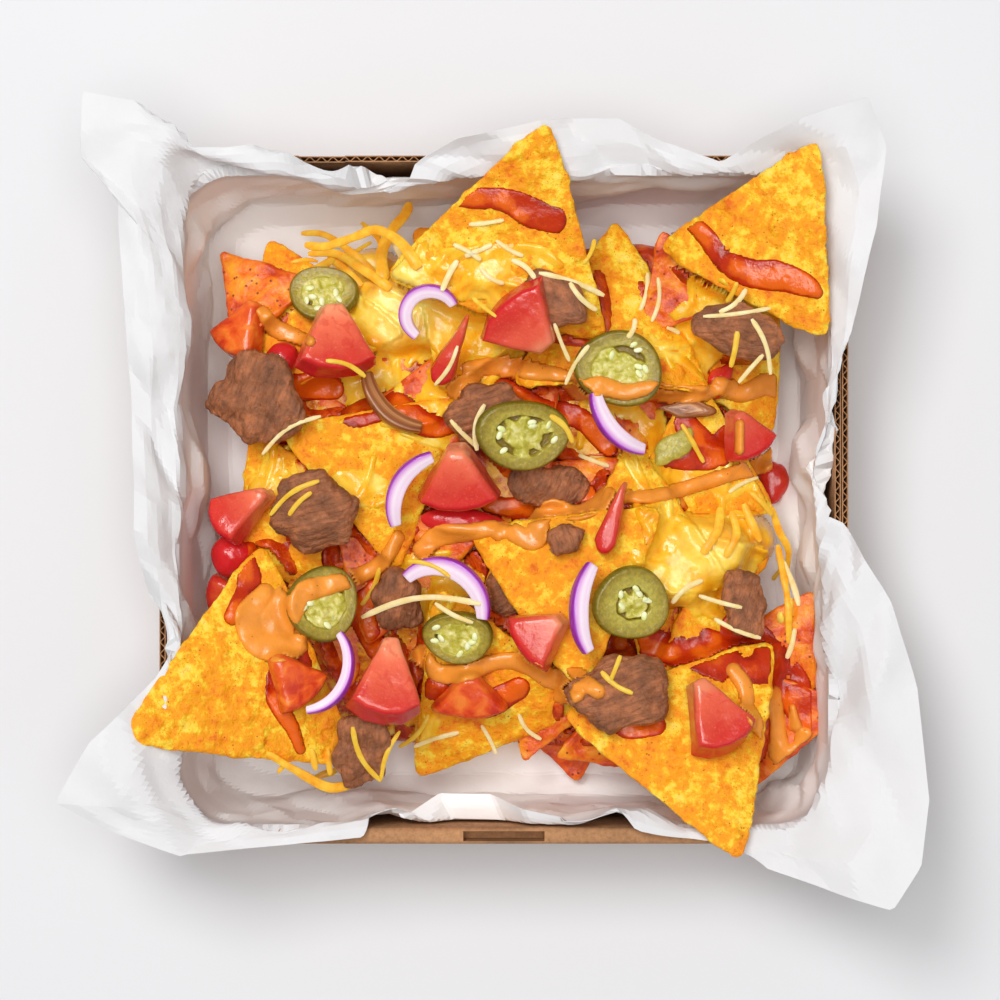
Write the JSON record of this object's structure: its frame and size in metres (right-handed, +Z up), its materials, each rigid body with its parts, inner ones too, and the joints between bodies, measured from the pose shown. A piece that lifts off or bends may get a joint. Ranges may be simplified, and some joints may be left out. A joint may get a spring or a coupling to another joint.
{
  "type": "loaded nachos in a tray",
  "caption": "Corn chips under melted cheese, steak, tomato, pickled pepper, red onion and creamy sauce, in an open square corrugated tray with a crumpled white paper liner.",
  "frame": {"origin": "centre of the tray's underside", "axes": "+Z up, -Y towards the front wall with the lock slot, +X to the right seen from the front"},
  "size_m": [0.2202, 0.2062, 0.0639],
  "materials": {
    "board": "matte kraft board",
    "paper": "matte white paper",
    "heap": "glossy melted cheese and sauce",
    "chip": "dry and rough",
    "steak": "moist",
    "tomato": "wet",
    "pepper": "wet",
    "onion": "moist",
    "cooked_strip": "oily"
  },
  "bodies": {
    "root": {"tray": "board", "paper_liner": "paper", "nacho_heap": "heap", "chip_01": "chip", "chip_02": "chip", "chip_03": "chip", "chip_04": "chip", "chip_05": "chip", "chip_06": "chip", "chip_07": "chip", "chip_08": "chip", "chip_09": "chip", "chip_10": "chip", "chip_11": "chip", "chip_12": "chip", "chip_13": "chip", "chip_14": "chip", "chip_15": "chip", "chip_16": "chip", "chip_17": "chip", "steak_01": "steak", "steak_02": "steak", "steak_03": "steak", "steak_04": "steak", "steak_05": "steak", "steak_06": "steak", "steak_07": "steak", "steak_08": "steak", "steak_09": "steak", "steak_10": "steak", "steak_11": "steak", "tomato_01": "tomato", "tomato_02": "tomato", "tomato_03": "tomato", "tomato_04": "tomato", "tomato_05": "tomato", "tomato_06": "tomato", "tomato_07": "tomato", "tomato_08": "tomato", "tomato_09": "tomato", "tomato_10": "tomato", "tomato_11": "tomato", "tomato_12": "tomato", "tomato_13": "tomato", "tomato_14": "tomato", "pepper_01": "pepper", "pepper_02": "pepper", "pepper_03": "pepper", "pepper_04": "pepper", "pepper_05": "pepper", "pepper_06": "pepper", "onion_01": "onion", "onion_02": "onion", "onion_03": "onion", "onion_04": "onion", "onion_05": "onion", "onion_06": "onion", "cooked_strip_01": "cooked_strip"}
  },
  "joints": []
}
